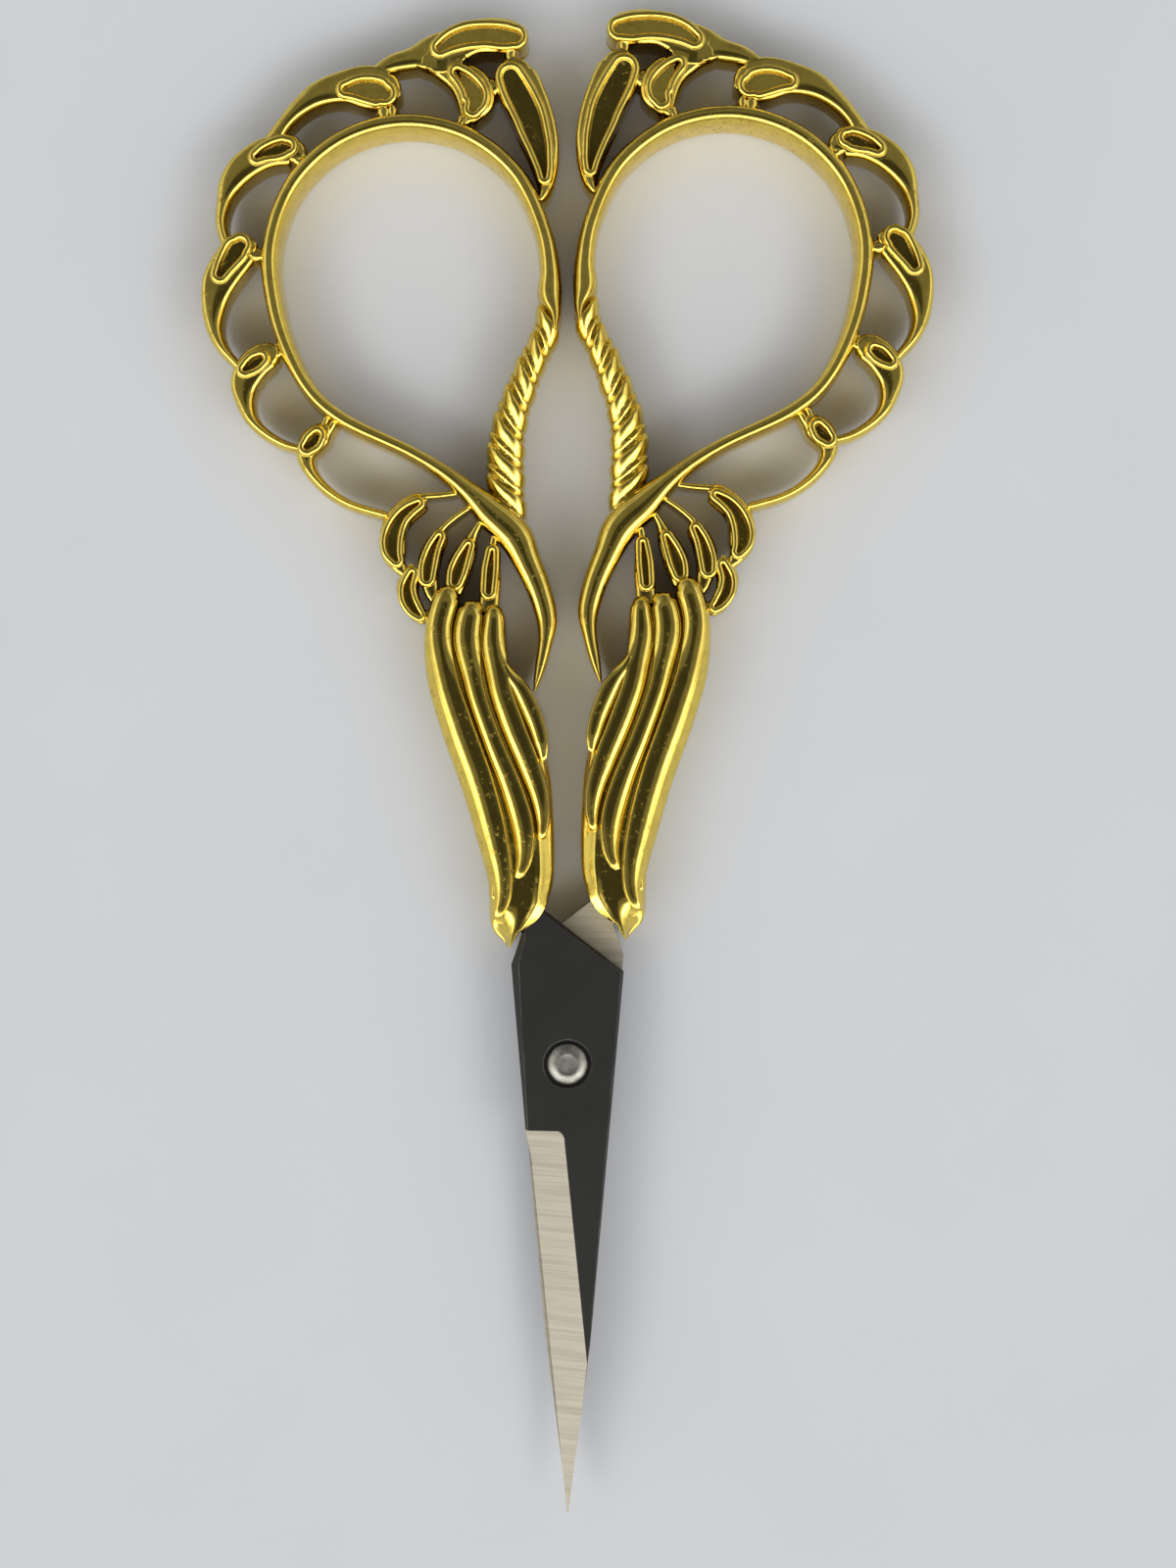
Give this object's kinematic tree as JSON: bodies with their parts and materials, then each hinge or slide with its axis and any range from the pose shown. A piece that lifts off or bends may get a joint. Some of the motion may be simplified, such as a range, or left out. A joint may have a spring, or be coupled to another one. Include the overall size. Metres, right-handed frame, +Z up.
{
  "type": "embroidery scissors",
  "caption": "Slim riveted embroidery scissors with black pointed blades and pierced gold bows of scrollwork, twisted rope and feather relief.",
  "frame": {"origin": "middle of the object's box at the surface that the closed scissors lie on", "axes": "+Y from the points to the bows, +Z up through the thickness, along the rivet, +X towards the right handle"},
  "size_m": [0.06, 0.1234, 0.0048],
  "materials": {
    "handle_gold": "polished gold plating over a casting",
    "blade_black": "black coating with bare ground cutting bevels",
    "rivet_steel": "polished steel"
  },
  "bodies": {
    "rear_half": {"right_handle": "handle_gold", "rear_blade": "blade_black", "pivot_rivet": "rivet_steel"},
    "front_half": {"left_handle": "handle_gold", "front_blade": "blade_black"}
  },
  "joints": [
    {"name": "pivot", "type": "hinge", "parent": "rear_half", "child": "front_half", "pos_m": [0, -0.02459, 0.0024], "axis": [0, 0, 1], "range_deg": [0, 90]}
  ]
}
